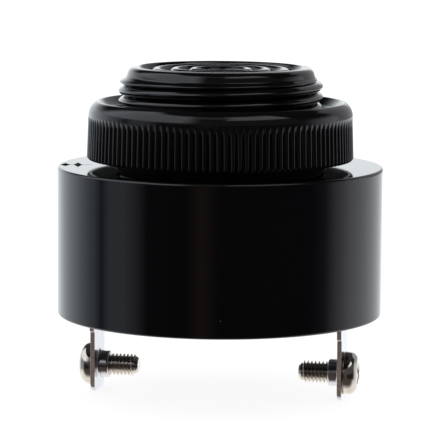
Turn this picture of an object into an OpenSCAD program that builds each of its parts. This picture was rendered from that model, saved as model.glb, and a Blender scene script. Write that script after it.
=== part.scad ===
// Panel mount buzzer: a round sounder with a threaded nose, a knurled ring nut and two screw terminals.
// The origin is on the axis in the plane of the shoulder, which seats on the panel. +Z is out of the nose.

/* [Body] */
// Outer diameter of the body
body_d = 43; // [40:0.5:48]
// Height of the body from its underside to the shoulder
body_h = 19.6; // [18.6:0.2:26]
// Thickness of the body's side wall
body_wall = 1.8; // [1.5:0.1:2.2]
// Thickness of the shoulder
shoulder_t = 2; // [1.4:0.1:3]
// Radius of the body's outer edges
body_edge_r = 0.3; // [0.1:0.05:0.6]

/* [Nose] */
// Outer diameter of the nose thread
thread_d = 27; // [24:0.5:30]
// Height of the threaded part above the shoulder
thread_h = 11.5; // [10:0.1:16]
// Depth of the thread, which is the step from the thread down to the cap band
thread_depth = 1.1; // [0.8:0.05:1.4]
// Height of the plain cap band above the thread
cap_h = 1.65; // [1.4:0.05:3]
// Radius of the cap band's outer edge
cap_round = 1.2; // [0.6:0.05:1.4]
// Thickness of the nose wall at the cap band
nose_wall = 2; // [1.6:0.1:2.4]

/* [Grille] */
// Number of rings in the grille
ring_count = 3; // [2:1:3]
// Thickness of a grille ring
ring_w = 1.15; // [0.8:0.05:1.4]
// Open gap between rings
ring_gap = 1.3; // [0.9:0.05:1.6]
// Height of a grille ring
ring_h = 2.4; // [2:0.1:4]
// Drop of the rings below the rim of the nose
ring_drop = 0.2; // [0:0.05:0.6]
// Number of spokes under the rings
spoke_count = 4; // [3:1:6]
// Width of a spoke
spoke_w = 1.2; // [0.8:0.1:1.8]
// Drop of the spokes below the top of the rings
spoke_drop = 1; // [0.7:0.1:1.6]

/* [Ring nut] */
// Height of the nut
nut_h = 7.85; // [6:0.05:10]
// Wall of the nut between its bore and the tips of its ribs
nut_wall = 4.05; // [3.2:0.05:6]
// Gap between the nut and the shoulder
nut_gap = 0.95; // [0.3:0.05:2.6]
// Height of the smooth round crown above the ribs
crown_h = 2.05; // [1.2:0.05:2.4]
// Draft of the ribbed side, taken off the radius
nut_draft = 0.17; // [0.05:0.01:0.3]
// Number of ribs
rib_count = 120; // [60:2:140]
// Depth of the grooves between ribs
rib_depth = 0.35; // [0.2:0.05:0.5]
// Bevel of the nut's lower outer edge
nut_bevel = 0.25; // [0.1:0.05:0.5]
// Width of the sink round the top of the bore
sink_w = 1.7; // [0.8:0.1:1.9]
// Depth of the sink round the top of the bore
sink_h = 1.4; // [0.6:0.1:2]

/* [Terminals] */
// Distance from the body's outside to the middle of a blade
blade_inset = 4.93; // [4.6:0.01:7]
// Width of a blade
blade_w = 6.3; // [5.4:0.1:7]
// Thickness of a blade
blade_t = 0.6; // [0.5:0.05:0.8]
// Length of a blade below the body
blade_l = 11; // [10.5:0.1:14]
// Radius of a blade's lower corners
blade_corner_r = 1.4; // [0.5:0.1:2]
// Width that a blade's root adds on each side
root_step = 0.45; // [0.2:0.05:0.6]
// Length of the wider root below the body
root_drop = 2.7; // [1.5:0.1:3.5]
// Width of the tab that goes through the circuit board
tab_w = 3; // [2:0.1:4]
// Height of the tab above the circuit board
tab_over = 0.8; // [0.5:0.1:1.2]
// Distance of the screw's axis below the body
screw_drop = 7.6; // [7:0.1:8]
// Wall of the drawn collar round the screw
collar_wall = 0.35; // [0.25:0.05:0.7]
// Length of the drawn collar past the blade
collar_l = 1.5; // [1:0.1:2]
// Radius of the collar's outer edge
collar_round = 0.3; // [0.1:0.05:0.35]

/* [Terminal screws] */
// Outer diameter of the screw thread
screw_d = 3; // [2.6:0.1:3.5]
// Depth to which the thread bites into the collar
screw_bite = 0.16; // [0.1:0.01:0.25]
// Length of the screw below its head
screw_l = 6; // [5:0.1:8]
// Diameter of the screw head
head_d = 5.7; // [5:0.1:6.5]
// Height of the screw head
head_h = 2; // [1.7:0.1:2.4]
// Height of the dome on the screw head
dome_h = 1.1; // [0.6:0.1:1.3]
// Bevel at the screw's tip
tip_bevel = 0.35; // [0.2:0.05:0.5]
// Length of the cross recess
recess_l = 3.1; // [2.4:0.1:3.6]
// Width of an arm of the cross recess
recess_w = 0.75; // [0.5:0.05:1]
// Depth of the cross recess
recess_depth = 1; // [0.6:0.1:1.2]

/* [Sounder] */
// Distance from the cavity's wall to the edge of the brass disc
plate_inset = 2.2; // [1.8:0.1:3]
// Thickness of the brass disc
plate_t = 0.3; // [0.2:0.05:0.5]
// Distance from the clamp ring's lip to the edge of the ceramic disc
ceramic_inset = 3.4; // [2.4:0.1:6]
// Thickness of the ceramic disc
ceramic_t = 0.25; // [0.15:0.05:0.4]
// Thickness of the bead between the brass disc and its seat
bead_t = 0.3; // [0.2:0.05:0.5]
// Width of the rim by which the brass disc is held
seat_w = 1.6; // [1.2:0.1:1.8]
// Height of the seat below the shoulder's inner face
seat_h = 1.2; // [0.8:0.1:2]
// Wall of the clamp ring's skirt
clamp_wall = 1.6; // [1.2:0.1:1.8]
// Thickness of the clamp ring's lip
clamp_lip_t = 0.8; // [0.6:0.1:1.2]
// Distance that a lead wire runs across between the board and the discs
lead_run = 4; // [3:0.1:5]
// Distance of the feedback wire from the edge of the ceramic disc
feedback_inset = 1.8; // [1.5:0.1:3]
// Distance of the drive wire from the axis
drive_lead_r = 3.6; // [3:0.1:5]
// Direction of the drive wire from the axis, in degrees
drive_lead_angle = 150; // [140:1:160]
// Direction of the feedback wire from the axis, in degrees
feedback_lead_angle = 285; // [275:1:295]
// Direction of the ground wire from the axis, in degrees
ground_lead_angle = 35; // [25:1:45]
// Diameter of a lead wire
lead_d = 0.8; // [0.6:0.05:1]
// Bend radius of a lead wire
lead_bend_r = 1.2; // [1:0.1:1.4]

/* [Rear cover] */
// Thickness of the rear cover
cover_t = 1.8; // [1.4:0.1:2.4]
// Width of the ledge that the cover seats on
cover_ledge = 0.6; // [0.4:0.05:0.8]
// Wall of the skirt that holds the circuit board
skirt_wall = 1.4; // [1:0.1:1.6]
// Room between the circuit board and the cover
back_depth = 6.2; // [5.8:0.1:7.5]

/* [Circuit board] */
// Thickness of the circuit board
board_t = 1.6; // [1:0.1:2]
// Diameter of the choke core
choke_d = 8; // [7:0.1:9]
// Height of the choke core
choke_h = 5.4; // [4.6:0.1:5.6]
// Thickness of the choke core's flanges
choke_flange_t = 0.8; // [0.6:0.1:1]
// Diameter of the choke core's middle
choke_neck_d = 3.6; // [3:0.1:4.5]
// Depth of the winding below the edge of the flanges
winding_inset = 0.4; // [0.2:0.1:0.8]
// Diameter of the capacitor
capacitor_d = 5; // [4:0.1:5.5]
// Height of the capacitor
capacitor_h = 5; // [4:0.1:5.5]
// Radius of the crimped groove round the capacitor, and of its lower edge
crimp_r = 0.3; // [0.2:0.05:0.4]
// Distance of the crimped groove from the board
crimp_drop = 1; // [0.6:0.1:1.4]
// Diameter of the transistor's round side
transistor_d = 4.7; // [4.2:0.1:5]
// Distance of the transistor's flat side from the middle of its round side
transistor_flat = 1.4; // [1:0.1:1.8]
// Height of the transistor's body
transistor_h = 4.5; // [4:0.1:4.8]
// Height of the transistor's legs under the board
transistor_gap = 0.7; // [0.5:0.1:0.8]
// Pitch of the transistor's legs
leg_pitch = 1.27; // [1:0.01:1.5]
// Thickness of a transistor leg
leg_w = 0.45; // [0.3:0.05:0.6]
// Length of a resistor's body
resistor_l = 3.4; // [3:0.1:4]
// Diameter of a resistor's body
resistor_d = 1.8; // [1.5:0.1:2.2]
// Length of the diode's body
diode_l = 4; // [3.5:0.1:4.5]
// Diameter of the diode's body
diode_d = 2; // [1.6:0.1:2.4]
// Distance between the ends of a resistor's or the diode's wires
wire_span = 7.5; // [7:0.1:8]
// Diameter of a resistor's or the diode's wires
wire_d = 0.5; // [0.4:0.05:0.6]

/* [Clearances] */
// Gap between the nose thread and the nut
thread_clear = 0.06; // [0.03:0.01:0.1]
// Gap round the pieces that sit inside the body
fit_clear = 0.1; // [0.05:0.01:0.15]
// Gap round a blade in the cover and in the circuit board
slot_clear = 0.1; // [0.05:0.01:0.2]
// Gap between a screw and its collar
screw_clear = 0.02; // [0.01:0.01:0.04]

/* [Hidden] */
$fn = 96;
// Overshoot of cuts past the face they open
over = 1;

// Radii of the housing
body_r = body_d / 2;
cavity_r = body_r - body_wall;
thread_r = thread_d / 2;
cap_r = thread_r - thread_depth;
bore_r = cap_r - nose_wall;
nose_h = thread_h + cap_h;

// Heights of the stack inside the body, from the nose side down
seat_z = -shoulder_t - seat_h;
plate_z = seat_z - bead_t;
ceramic_z = plate_z - plate_t;
lead_top_z = ceramic_z - ceramic_t;
cover_z = -body_h + cover_t;
board_bottom_z = cover_z + back_depth;
board_z = board_bottom_z + board_t;

// Radii of the stack inside the body
plate_r = cavity_r - plate_inset;
seat_r = plate_r - seat_w;
ceramic_r = seat_r - ceramic_inset;
clamp_r = cavity_r - fit_clear;
board_r = cavity_r - fit_clear;
skirt_r = cavity_r - fit_clear;
cover_r = cavity_r + cover_ledge - fit_clear;

// Grille
ring_top_z = nose_h - ring_drop;
ring_bottom_z = ring_top_z - ring_h;
ring_pitch = ring_w + ring_gap;
inner_ring_r = bore_r - ring_count * ring_pitch + ring_w / 2;
spoke_end_r = bore_r + nose_wall / 4;

// Ring nut
nut_bore_r = thread_r + thread_clear;
nut_r = nut_bore_r + nut_wall;
knurl_h = nut_h - crown_h;
groove_r = nut_r - rib_depth - nut_draft;
rib_peak_r = nut_r + rib_depth / 2;
rib_step = 360 / rib_count;

// Terminals and their screws
blade_x = body_r - blade_inset;
blade_outer_x = blade_x + blade_t / 2;
root_w = blade_w + 2 * root_step;
screw_z = -body_h - screw_drop;
screw_r = screw_d / 2;
screw_bite_r = screw_r - screw_bite;
tapped_r = screw_bite_r + screw_clear;
collar_r = screw_r + collar_wall;
engaged_l = blade_t + collar_l + fit_clear;
dome_r = (pow(head_d / 2, 2) + pow(dome_h, 2)) / (2 * dome_h);

// Places on the circuit board
choke_at = [0, 8.6];
capacitor_at = [-8.6, 4.6];
transistor_at = [8.6, 4.6];
diode_at = [8.2, -3];
resistor_places = [[0, -11.4], [-0.6, -7.2], [-8.2, -3]];
drive_lead_ends = lead_ends(drive_lead_angle, drive_lead_r, 1);
feedback_lead_ends = lead_ends(feedback_lead_angle, ceramic_r - feedback_inset, -1);
ground_lead_ends = lead_ends(ground_lead_angle, seat_r - ceramic_inset / 2, -1);

// Solder fillets
solder_w = 0.6;
solder_h = 0.7;

// Ends of a lead wire, on the board and on a disc: the run goes along the radius, to the side given by way
function lead_ends(angle, contact_r, way) = [
    (contact_r + way * lead_run) * [cos(angle), sin(angle)],
    contact_r * [cos(angle), sin(angle)]
];

// What lies outside a round of radius r on a corner that points to +X and +Y
module corner_cut(r) {
    difference() {
        translate([-r, -r])
            square(r + over);
        translate([-r, -r])
            circle(r);
    }
}

// Section of the housing, radius along X and height along Y
module housing_section() {
    difference() {
        union() {
            translate([0, -body_h])
                square([body_r, body_h]);
            square([thread_r, thread_h - thread_depth]);
            square([cap_r, nose_h]);
            polygon([
                [0, thread_h - thread_depth], [thread_r, thread_h - thread_depth],
                [cap_r, thread_h], [0, thread_h]
            ]);
        }
        translate([body_r, 0])
            corner_cut(body_edge_r);
        translate([body_r, -body_h])
            mirror([0, 1])
                corner_cut(body_edge_r);
        translate([cap_r, nose_h])
            corner_cut(cap_round);
        translate([0, -body_h - over])
            square([bore_r, body_h + nose_h + 2 * over]);
        translate([0, -body_h - over])
            square([seat_r, body_h + over - shoulder_t]);
        translate([0, -body_h - over])
            square([cavity_r, body_h + over + seat_z]);
        translate([0, -body_h - over])
            square([cavity_r + cover_ledge, cover_t + over]);
    }
}

// One ring of the grille, with a round top
module grille_ring(r) {
    rotate_extrude()
        translate([r, 0])
            union() {
                translate([-ring_w / 2, ring_bottom_z])
                    square([ring_w, ring_h - ring_w / 2]);
                translate([0, ring_top_z - ring_w / 2])
                    circle(d = ring_w);
            }
}

// Rings of the grille on radial spokes that run into the nose wall
module grille() {
    for (i = [1 : ring_count])
        grille_ring(bore_r - i * ring_pitch + ring_w / 2);
    for (i = [0 : spoke_count - 1])
        rotate([0, 0, (i + 0.5) * 360 / spoke_count])
            translate([inner_ring_r, -spoke_w / 2, ring_bottom_z])
                cube([spoke_end_r - inner_ring_r, spoke_w, ring_h - spoke_drop]);
}

// Body, nose and grille, moulded in one
module housing() {
    color("#17171b")
        union() {
            rotate_extrude()
                housing_section();
            grille();
        }
}

// Outline of the ribs, with a peak and a groove for each
module rib_outline() {
    polygon([
        for (i = [0 : rib_count - 1], side = [0, 0.5])
            let (r = side == 0 ? rib_peak_r : groove_r, angle = (i + side) * rib_step)
                [r * cos(angle), r * sin(angle)]
    ]);
}

// Ribbed side of the nut: the ribs' tips follow the drafted cone
module nut_side() {
    intersection() {
        linear_extrude(knurl_h)
            rib_outline();
        union() {
            cylinder(h = nut_bevel, r1 = nut_r - nut_bevel, r2 = nut_r);
            translate([0, 0, nut_bevel])
                cylinder(h = knurl_h - nut_bevel, r1 = nut_r, r2 = nut_r - nut_draft);
        }
    }
}

// Smooth crown of the nut, rounded over its whole height
module nut_crown() {
    translate([0, 0, knurl_h])
        rotate_extrude()
            difference() {
                square([nut_r - nut_draft, crown_h]);
                translate([nut_r - nut_draft, crown_h])
                    corner_cut(crown_h);
            }
}

// Knurled ring nut, clear of the shoulder by the gap in which the panel sits
module ring_nut() {
    color("#1d1d20")
        translate([0, 0, nut_gap])
            difference() {
                union() {
                    nut_side();
                    nut_crown();
                }
                translate([0, 0, -over])
                    cylinder(h = nut_h + 2 * over, r = nut_bore_r);
                translate([0, 0, nut_h - sink_h])
                    cylinder(h = sink_h, r1 = nut_bore_r, r2 = nut_bore_r + sink_w);
            }
}

// Rear cover: a disc on the ledge, with a skirt that holds the board and a slot for each blade
module rear_cover() {
    slot_t = blade_t + 2 * slot_clear;
    slot_w = root_w + 2 * slot_clear;
    color("#1a1a1d")
        difference() {
            union() {
                translate([0, 0, -body_h])
                    cylinder(h = cover_t, r = cover_r);
                translate([0, 0, cover_z])
                    difference() {
                        cylinder(h = back_depth, r = skirt_r);
                        translate([0, 0, -over])
                            cylinder(h = back_depth + 2 * over, r = skirt_r - skirt_wall);
                    }
            }
            for (side = [-1, 1])
                translate([side * blade_x - slot_t / 2, -slot_w / 2, -body_h - over])
                    cube([slot_t, slot_w, cover_t + 2 * over]);
        }
}

// Flat outline of a blade: width along X and height along Y
module blade_outline() {
    difference() {
        translate([-blade_w / 2, -body_h - blade_l])
            square([blade_w, blade_l]);
        for (turn = [0, 1])
            mirror([turn, 0])
                translate([blade_w / 2, -body_h - blade_l])
                    mirror([0, 1])
                        corner_cut(blade_corner_r);
    }
    translate([-root_w / 2, -body_h - root_drop])
        square([root_w, root_drop + cover_t + back_depth]);
    translate([-tab_w / 2, board_bottom_z])
        square([tab_w, board_t + tab_over]);
}

// Drawn collar along +X from the blade's outer face
module collar() {
    collar_end = blade_t + collar_l;
    rotate([0, 90, 0])
        rotate_extrude()
            difference() {
                square([collar_r, collar_end]);
                translate([collar_r, collar_end])
                    corner_cut(collar_round);
            }
}

// Blade on the +X side with its tapped collar, which points to the axis
module terminal() {
    difference() {
        union() {
            translate([blade_x - blade_t / 2, 0, 0])
                rotate([90, 0, 90])
                    linear_extrude(blade_t)
                        blade_outline();
            translate([blade_outer_x, 0, screw_z])
                mirror([1, 0, 0])
                    collar();
        }
        translate([blade_outer_x + over, 0, screw_z])
            rotate([0, -90, 0])
                cylinder(h = blade_t + collar_l + 2 * over, r = tapped_r);
    }
}

// Positive blade
module terminal_positive() {
    color("#c9c4b8")
        terminal();
}

// Negative blade
module terminal_negative() {
    color("#c9c4b8")
        mirror([1, 0, 0])
            terminal();
}

// Domed head with a cross recess, seated on Z = 0
module screw_head() {
    difference() {
        intersection() {
            cylinder(h = head_h, d = head_d);
            translate([0, 0, head_h - dome_r])
                sphere(dome_r);
        }
        for (turn = [0, 90])
            rotate([0, 0, turn])
                translate([-recess_l / 2, -recess_w / 2, head_h - recess_depth])
                    cube([recess_l, recess_w, recess_depth + over]);
    }
}

// Screw with its head up: the engaged stretch fits the tapped hole, and the free end has the full thread
module terminal_screw() {
    free_l = screw_l - engaged_l - tip_bevel;
    screw_head();
    translate([0, 0, -engaged_l])
        cylinder(h = engaged_l, r = screw_bite_r);
    translate([0, 0, -engaged_l - free_l])
        cylinder(h = free_l, r = screw_r);
    translate([0, 0, -screw_l])
        cylinder(h = tip_bevel, r1 = screw_r - tip_bevel, r2 = screw_r);
}

// Both terminal screws, heads outwards
module terminal_screws() {
    color("#d8d6d0")
        for (side = [-1, 1])
            translate([side * blade_outer_x, 0, screw_z])
                rotate([0, side * 90, 0])
                    terminal_screw();
}

// Brass disc that sounds
module diaphragm_plate() {
    color("#c9a24a")
        translate([0, 0, ceramic_z])
            cylinder(h = plate_t, r = plate_r);
}

// Ceramic disc bonded under the brass disc
module piezo_ceramic() {
    color("#e6e2d6")
        translate([0, 0, lead_top_z])
            cylinder(h = ceramic_t, r = ceramic_r);
}

// Flat ring about the axis, its lower face at height z
module flat_ring(z, h, r_out, r_in) {
    translate([0, 0, z])
        difference() {
            cylinder(h = h, r = r_out);
            translate([0, 0, -over])
                cylinder(h = h + 2 * over, r = r_in);
        }
}

// Elastic bead between the brass disc and its seat
module diaphragm_bead() {
    color("#8d8f92")
        flat_ring(plate_z, bead_t, plate_r, seat_r);
}

// Ring that clamps the disc's rim with its lip and carries the board on its skirt
module clamp_ring() {
    color("#3a3a3e")
        rotate_extrude()
            difference() {
                translate([seat_r, board_z])
                    square([clamp_r - seat_r, seat_z - board_z]);
                translate([0, ceramic_z])
                    square([plate_r + fit_clear, bead_t + plate_t + over]);
                translate([0, board_z - over])
                    square([clamp_r - clamp_wall, ceramic_z - clamp_lip_t - board_z + over]);
            }
}

// Round circuit board with a slot for each blade's tab
module circuit_board() {
    slot_t = blade_t + 2 * slot_clear;
    slot_w = tab_w + 2 * slot_clear;
    color("#2f6b45")
        difference() {
            translate([0, 0, board_bottom_z])
                cylinder(h = board_t, r = board_r);
            for (side = [-1, 1])
                translate([side * blade_x - slot_t / 2, -slot_w / 2, board_bottom_z - over])
                    cube([slot_t, slot_w, board_t + 2 * over]);
        }
}

// Places a part under the board, where Z = 0 is the board's lower face
module under_board(at) {
    translate([at.x, at.y, board_bottom_z])
        children();
}

// Transistor with one flat side, on three legs
module drive_transistor() {
    color("#26262a")
        under_board(transistor_at) {
            translate([0, 0, -transistor_gap - transistor_h])
                linear_extrude(transistor_h)
                    intersection() {
                        circle(d = transistor_d);
                        translate([transistor_flat - transistor_d, -transistor_d / 2])
                            square(transistor_d);
                    }
            for (i = [-1, 0, 1])
                translate([-leg_w / 2, i * leg_pitch - leg_w / 2, -transistor_gap])
                    cube([leg_w, leg_w, transistor_gap]);
        }
}

// Drum core of the choke
module choke_core() {
    color("#4a4a4e")
        under_board(choke_at)
            translate([0, 0, -choke_h])
                union() {
                    cylinder(h = choke_flange_t, d = choke_d);
                    cylinder(h = choke_h, d = choke_neck_d);
                    translate([0, 0, choke_h - choke_flange_t])
                        cylinder(h = choke_flange_t, d = choke_d);
                }
}

// Winding of the choke, between the core's flanges
module choke_winding() {
    color("#b4622d")
        under_board(choke_at)
            flat_ring(
                choke_flange_t - choke_h, choke_h - 2 * choke_flange_t,
                choke_d / 2 - winding_inset, choke_neck_d / 2
            );
}

// Capacitor can with a crimped groove near the board
module smoothing_capacitor() {
    color("#3c4a78")
        under_board(capacitor_at)
            rotate_extrude()
                difference() {
                    translate([0, -capacitor_h])
                        square([capacitor_d / 2, capacitor_h]);
                    translate([capacitor_d / 2, -crimp_drop])
                        circle(crimp_r);
                    translate([capacitor_d / 2, -capacitor_h])
                        mirror([0, 1])
                            corner_cut(crimp_r);
                }
}

// Quarter bend of a wire: it leaves the origin along +Z and turns to +X
module quarter_bend(d, bend_r) {
    translate([bend_r, 0, 0])
        rotate([90, 0, 0])
            rotate([0, 0, 90])
                rotate_extrude(angle = 90)
                    translate([bend_r, 0])
                        circle(d = d);
}

// Axial part under the board, with both wires bent up to it
module axial_part(body_l, part_d) {
    drop = part_d / 2 + wire_d;
    reach = wire_span / 2 - drop;
    rotate([0, 90, 0])
        translate([drop, 0, -body_l / 2])
            cylinder(h = body_l, d = part_d);
    for (turn = [0, 1])
        mirror([turn, 0, 0]) {
            translate([body_l / 2, 0, -drop])
                rotate([0, 90, 0])
                    cylinder(h = reach - body_l / 2, d = wire_d);
            translate([reach + drop, 0, 0])
                rotate([180, 0, 180])
                    quarter_bend(wire_d, drop);
        }
}

// Diode that guards against reversed wires
module polarity_diode() {
    color("#2b2b2e")
        under_board(diode_at)
            axial_part(diode_l, diode_d);
}

// Resistor at the transistor's base
module base_resistor() {
    color("#c8a878")
        under_board(resistor_places[0])
            axial_part(resistor_l, resistor_d);
}

// Resistor at the transistor's collector
module collector_resistor() {
    color("#c8a878")
        under_board(resistor_places[1])
            axial_part(resistor_l, resistor_d);
}

// Resistor in the feedback path
module feedback_resistor() {
    color("#c8a878")
        under_board(resistor_places[2])
            axial_part(resistor_l, resistor_d);
}

// Insulated wire that stands on the board, steps across and meets a face above at height top_z
module lead(ends, top_z) {
    run = ends[1] - ends[0];
    run_l = norm(run);
    middle_z = (board_z + top_z) / 2;
    translate([ends[0].x, ends[0].y, 0])
        rotate([0, 0, atan2(run.y, run.x)]) {
            translate([0, 0, board_z])
                cylinder(h = middle_z - lead_bend_r - board_z, d = lead_d);
            translate([0, 0, middle_z - lead_bend_r])
                quarter_bend(lead_d, lead_bend_r);
            translate([lead_bend_r, 0, middle_z])
                rotate([0, 90, 0])
                    cylinder(h = run_l - 2 * lead_bend_r, d = lead_d);
            translate([run_l, 0, middle_z + lead_bend_r])
                rotate([0, 180, 0])
                    quarter_bend(lead_d, lead_bend_r);
            translate([run_l, 0, middle_z + lead_bend_r])
                cylinder(h = top_z - middle_z - lead_bend_r, d = lead_d);
        }
}

// Wire that drives the ceramic
module drive_lead() {
    color("#b02a26")
        lead(drive_lead_ends, lead_top_z);
}

// Wire that takes the ceramic's signal back to the transistor
module feedback_lead() {
    color("#2c55a8")
        lead(feedback_lead_ends, lead_top_z);
}

// Wire to the brass disc
module ground_lead() {
    color("#202022")
        lead(ground_lead_ends, ceramic_z);
}

// Fillet of solder round a wire that ends on the face Z = 0
module solder_fillet() {
    rotate_extrude()
        polygon([[lead_d / 2, 0], [lead_d / 2 + solder_w, 0], [lead_d / 2, solder_h]]);
}

// Both ends of one wire
module lead_solder(ends, top_z) {
    translate([ends[0].x, ends[0].y, board_z])
        solder_fillet();
    translate([ends[1].x, ends[1].y, top_z])
        mirror([0, 0, 1])
            solder_fillet();
}

// Fillet of solder on both sides of a blade's tab, which stands through the face Z = 0
module tab_solder() {
    difference() {
        rotate([90, 0, 0])
            linear_extrude(tab_w + solder_w, center = true)
                polygon([
                    [-blade_t / 2 - solder_w, 0], [blade_t / 2 + solder_w, 0],
                    [blade_t, solder_h], [-blade_t, solder_h]
                ]);
        translate([-blade_t / 2, -tab_w / 2, -over])
            cube([blade_t, tab_w, solder_h + 2 * over]);
    }
}

// Solder at the wires' ends and round the blades' tabs
module solder_joints() {
    color("#b9bcc0") {
        lead_solder(drive_lead_ends, lead_top_z);
        lead_solder(feedback_lead_ends, lead_top_z);
        lead_solder(ground_lead_ends, ceramic_z);
        for (side = [-1, 1])
            translate([side * blade_x, 0, board_z])
                tab_solder();
    }
}

housing();
ring_nut();
rear_cover();
terminal_positive();
terminal_negative();
terminal_screws();
diaphragm_plate();
piezo_ceramic();
diaphragm_bead();
clamp_ring();
circuit_board();
drive_transistor();
choke_core();
choke_winding();
smoothing_capacitor();
polarity_diode();
base_resistor();
collector_resistor();
feedback_resistor();
drive_lead();
feedback_lead();
ground_lead();
solder_joints();
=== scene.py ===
"""Panel mount buzzer: mouldings, knurl, threads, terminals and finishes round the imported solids.

Sizes are in millimetres in the part's own frame: the origin is on the axis in the plane of the shoulder, +Z
points out of the nose and the terminals lie along X. A finished mesh is scaled to metres.
"""
import logging
import math
from abc import ABC, abstractmethod
from collections.abc import Mapping, Sequence
from dataclasses import asdict, dataclass, fields
from enum import Enum
from typing import Any

import bmesh
import bpy
from bpy.types import Material, Mesh
from mathutils import Matrix, Vector


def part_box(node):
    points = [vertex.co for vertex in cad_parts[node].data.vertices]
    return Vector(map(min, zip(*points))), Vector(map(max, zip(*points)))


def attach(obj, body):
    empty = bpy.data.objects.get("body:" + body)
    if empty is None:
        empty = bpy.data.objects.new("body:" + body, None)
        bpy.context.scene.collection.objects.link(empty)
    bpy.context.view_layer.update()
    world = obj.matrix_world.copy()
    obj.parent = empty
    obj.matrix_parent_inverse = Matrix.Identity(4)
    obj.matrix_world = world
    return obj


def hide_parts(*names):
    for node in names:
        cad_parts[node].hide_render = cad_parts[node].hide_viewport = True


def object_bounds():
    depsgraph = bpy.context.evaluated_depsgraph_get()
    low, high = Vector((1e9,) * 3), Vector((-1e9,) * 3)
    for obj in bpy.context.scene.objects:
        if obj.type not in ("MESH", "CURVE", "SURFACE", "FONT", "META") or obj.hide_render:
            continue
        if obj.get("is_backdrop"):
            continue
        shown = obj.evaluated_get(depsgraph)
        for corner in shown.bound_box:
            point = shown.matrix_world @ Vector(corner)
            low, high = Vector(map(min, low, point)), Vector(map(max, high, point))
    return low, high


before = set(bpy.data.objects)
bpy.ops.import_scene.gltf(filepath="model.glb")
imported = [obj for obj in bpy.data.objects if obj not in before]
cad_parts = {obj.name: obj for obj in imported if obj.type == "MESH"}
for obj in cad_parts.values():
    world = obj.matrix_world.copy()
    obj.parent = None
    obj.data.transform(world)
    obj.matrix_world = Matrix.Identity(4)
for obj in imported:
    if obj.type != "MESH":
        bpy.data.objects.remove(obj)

LOG = logging.getLogger("buzzer")
CAD_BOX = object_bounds()
MM = 0.001
TURN = 2 * math.pi
POLE_R = 1e-6
NOSE_PITCH = 1.41
BLADE_X = 16.87
SCREW_Z = -27.2

Colour = tuple[float, float, float]
Point = tuple[float, float]
Sockets = Mapping[str | int, Any]


class Body(Enum):
    """Bodies of the part that a piece can ride on."""

    BUZZER = "buzzer"
    NUT = "nut"


class Wire:
    """Output of a node, on which Python's operators add Math nodes."""

    def __init__(self, tree: "Tree", socket: bpy.types.NodeSocket | None) -> None:
        """Keeps the socket and the tree that it belongs to."""
        self.tree = tree
        self.socket = socket

    def part(self, name: str) -> "Wire":
        """Another output of the same node."""
        return Wire(self.tree, self.socket.node.outputs[name])

    def __add__(self, other: "Wire | float") -> "Wire":
        """Sum."""
        return self.tree.math("ADD", self, other)

    __radd__ = __add__

    def __sub__(self, other: "Wire | float") -> "Wire":
        """Difference."""
        return self.tree.math("SUBTRACT", self, other)

    def __rsub__(self, other: float) -> "Wire":
        """Difference from a number."""
        return self.tree.math("SUBTRACT", other, self)

    def __mul__(self, other: "Wire | float") -> "Wire":
        """Product."""
        return self.tree.math("MULTIPLY", self, other)

    __rmul__ = __mul__

    def __truediv__(self, other: "Wire | float") -> "Wire":
        """Quotient."""
        return self.tree.math("DIVIDE", self, other)

    def __rtruediv__(self, other: float) -> "Wire":
        """A number divided by this."""
        return self.tree.math("DIVIDE", other, self)

    def __abs__(self) -> "Wire":
        """Size without the sign."""
        return self.tree.math("ABSOLUTE", self)

    def __round__(self) -> "Wire":
        """Nearest whole number."""
        return self.tree.math("ROUND", self)


Value = Wire | float
Paint = Wire | Colour


class Tree:
    """Node tree that is written as expressions."""

    def __init__(self, nodes: bpy.types.NodeTree) -> None:
        """Wraps the tree that nodes are added to."""
        self.nodes = nodes

    def node(
        self, kind: str, settings: Sockets | None = None, inputs: Sockets | None = None,
        output: str | int = 0,
    ) -> Wire:
        """Adds a node of any kind.

        Args:
            kind: The node's type.
            settings: Its own settings, set first. stops holds the places and colours of a ramp.
            inputs: Values or outputs for its sockets, by name or number.
            output: Which output to return.

        Returns:
            The chosen output, which has no socket on a node without outputs.
        """
        made = self.nodes.nodes.new(kind)
        for key, value in (settings or {}).items():
            if key == "stops":
                self._fill(made.color_ramp, value)
            else:
                setattr(made, key, value)
        for key, value in (inputs or {}).items():
            self.feed(made.inputs[key], value)
        return Wire(self, made.outputs[output] if made.outputs else None)

    def feed(self, socket: bpy.types.NodeSocket, value: Any) -> None:
        """Links an output to a socket, or sets the socket's own value.

        Args:
            socket: The input.
            value: An output, a number, a colour or another plain value.
        """
        if isinstance(value, Wire):
            self.nodes.links.new(value.socket, socket)
        elif socket.type == "RGBA":
            socket.default_value = (*value, 1.0)
        else:
            socket.default_value = value

    def math(self, operation: str, *values: Value) -> Wire:
        """Result of a Math node."""
        return self.node("ShaderNodeMath", {"operation": operation}, dict(enumerate(values)))

    def step(self, value: Wire, low: Value, high: Value) -> Wire:
        """Smooth step from 0 at low to 1 at high, which may be the smaller one."""
        sizes = {"Value": value, "From Min": low, "From Max": high}
        return self.node("ShaderNodeMapRange", {"interpolation_type": "SMOOTHSTEP"}, sizes)

    def between(self, value: Wire, ends: Point, soft: float) -> Wire:
        """Mask between two ends, with edges that are soft to both sides."""
        low, high = ends
        return self.step(value, low - soft, low + soft) * self.step(value, high + soft, high - soft)

    @staticmethod
    def _fill(ramp: bpy.types.ColorRamp, stops: Sequence[tuple[float, Colour]]) -> None:
        """Gives a colour ramp its stops.

        Args:
            ramp: The ramp of a new node, which has two stops.
            stops: Place and colour of each stop, in order.
        """
        while len(ramp.elements) < len(stops):
            ramp.elements.new(1.0)
        for element, (place, colour) in zip(ramp.elements, stops):
            element.position = place
            element.color = (*colour, 1.0)


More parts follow.
